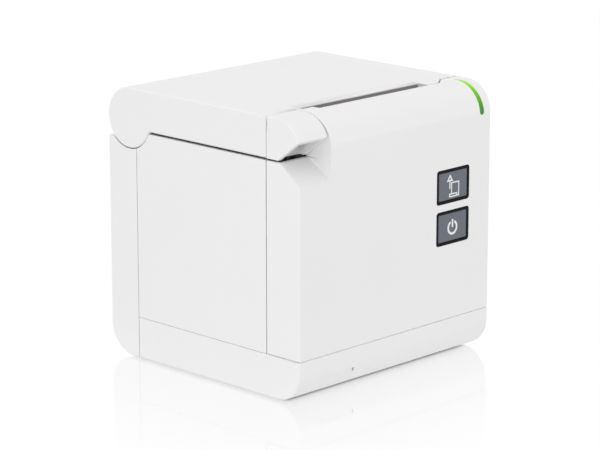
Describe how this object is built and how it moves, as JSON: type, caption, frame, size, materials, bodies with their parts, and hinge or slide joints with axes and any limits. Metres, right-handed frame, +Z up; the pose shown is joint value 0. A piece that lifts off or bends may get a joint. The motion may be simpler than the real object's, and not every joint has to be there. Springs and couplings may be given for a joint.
{
  "type": "receipt printer",
  "caption": "Compact cube-shaped thermal receipt printer with a hinged paper lid, corner release lever, front keys, paper well, roller drive, tilting print head and paper cutter.",
  "frame": {"origin": "centre of the bounding box on the surface the feet stand on", "axes": "+X to the printer's left seen from behind, so right seen from the front, +Y to the back, +Z up"},
  "size_m": [0.13, 0.127, 0.132],
  "materials": {
    "casing_white": "fine satin",
    "rim_black": "gloss",
    "key_grey": "satin",
    "light_green": "clear gloss",
    "led_clear": "clear",
    "inner_grey": "fine matt",
    "sensor_black": "matt",
    "frame_steel": "zinc plated",
    "spring_steel": "bright",
    "shaft_steel": "ground",
    "blade_steel": "ground",
    "motor_steel": "plated",
    "port_steel": "tin plated",
    "gear_white": "natural acetal",
    "platen_rubber": "ground",
    "head_ceramic": "glazed line",
    "sink_aluminium": "extruded",
    "board_green": "solder mask",
    "foot_rubber": "matt"
  },
  "bodies": {
    "chassis": {"base": "casing_white", "rear_cover": "casing_white", "left_panel": "casing_white", "right_panel": "casing_white", "front_cover": "casing_white", "catch_pin": "shaft_steel", "hinge_pins": "shaft_steel", "status_light": "light_green", "button_rims": "rim_black", "control_board": "board_green", "button_switches": "sensor_black", "status_led": "led_clear", "paper_bin": "inner_grey", "mech_frame": "frame_steel", "paper_guide": "inner_grey", "paper_sensor": "sensor_black", "cover_switch": "sensor_black", "head_pivot_shaft": "shaft_steel", "head_spring": "spring_steel", "idler_post": "shaft_steel", "gear_plate": "frame_steel", "feed_motor": "motor_steel", "cutter_frame": "frame_steel", "cutter_motor": "motor_steel", "main_board": "board_green", "dc_jack": "sensor_black", "usb_port": "port_steel", "lan_port": "port_steel", "drawer_port": "sensor_black", "rubber_feet": "foot_rubber", "case_screws": "shaft_steel"},
    "lid": {"lid": "casing_white", "lid_inner": "inner_grey", "fixed_blade": "blade_steel", "lever_pin": "shaft_steel", "lever_spring": "spring_steel", "platen_bushes": "gear_white"},
    "lever": {"release_lever": "casing_white", "latch_hook": "frame_steel"},
    "platen": {"platen_shaft": "shaft_steel", "platen_rubber": "platen_rubber", "platen_gear": "gear_white"},
    "idler": {"idler_gear": "gear_white"},
    "feed_pinion": {"motor_pinion": "gear_white"},
    "head": {"print_head": "head_ceramic", "head_heat_sink": "sink_aluminium"},
    "knife": {"moving_blade": "blade_steel"},
    "cutter_drive": {"cutter_pinion": "gear_white"},
    "feed_key": {"feed_button": "key_grey"},
    "power_key": {"power_button": "key_grey"}
  },
  "joints": [
    {"name": "lid_hinge", "type": "hinge", "parent": "chassis", "child": "lid", "pos_m": [0, 0.049, 0.1175], "axis": [-1, 0, 0], "range_deg": [0, 100]},
    {"name": "lever_pivot", "type": "hinge", "parent": "lid", "child": "lever", "pos_m": [-0.0573, -0.0383, 0.124], "axis": [-1, 0, 0], "range_deg": [0, 8], "stiffness_Nm_per_rad": 0.5, "springref_deg": -5.73, "deforming": ["lever_spring"]},
    {"name": "feed_key_slide", "type": "slide", "parent": "chassis", "child": "feed_key", "axis": [0, 1, 0], "range_m": [0, 0.0005], "stiffness_N_per_m": 1200},
    {"name": "power_key_slide", "type": "slide", "parent": "chassis", "child": "power_key", "axis": [0, 1, 0], "range_m": [0, 0.0005], "stiffness_N_per_m": 1200},
    {"name": "platen_spin", "type": "hinge", "parent": "lid", "child": "platen", "pos_m": [0, -0.03815, 0.115], "axis": [1, 0, 0], "continuous": true},
    {"name": "idler_spin", "type": "hinge", "parent": "chassis", "child": "idler", "pos_m": [0.0462, -0.03595, 0.10679], "axis": [1, 0, 0], "continuous": true},
    {"name": "feed_pinion_spin", "type": "hinge", "parent": "chassis", "child": "feed_pinion", "pos_m": [0.0468, -0.03708, 0.09384], "axis": [1, 0, 0], "continuous": true},
    {"name": "head_rock", "type": "hinge", "parent": "chassis", "child": "head", "pos_m": [0, -0.04685, 0.103], "axis": [1, 0, 0], "range_deg": [0, 1.5], "stiffness_Nm_per_rad": 20, "springref_deg": -1.15},
    {"name": "knife_slide", "type": "slide", "parent": "chassis", "child": "knife", "axis": [0, 1, 0], "range_m": [0, 0.0065]},
    {"name": "cutter_pinion_spin", "type": "hinge", "parent": "chassis", "child": "cutter_drive", "pos_m": [0.0496, -0.05142, 0.1205], "axis": [0, 0, 1], "range_deg": [-110, 5]}
  ],
  "couplings": [
    {"joint": "idler_spin", "follows": "platen_spin", "ratio": -1.125},
    {"joint": "feed_pinion_spin", "follows": "platen_spin", "ratio": 3.75},
    {"joint": "cutter_pinion_spin", "follows": "knife_slide", "rad_per_m": -277.78}
  ]
}
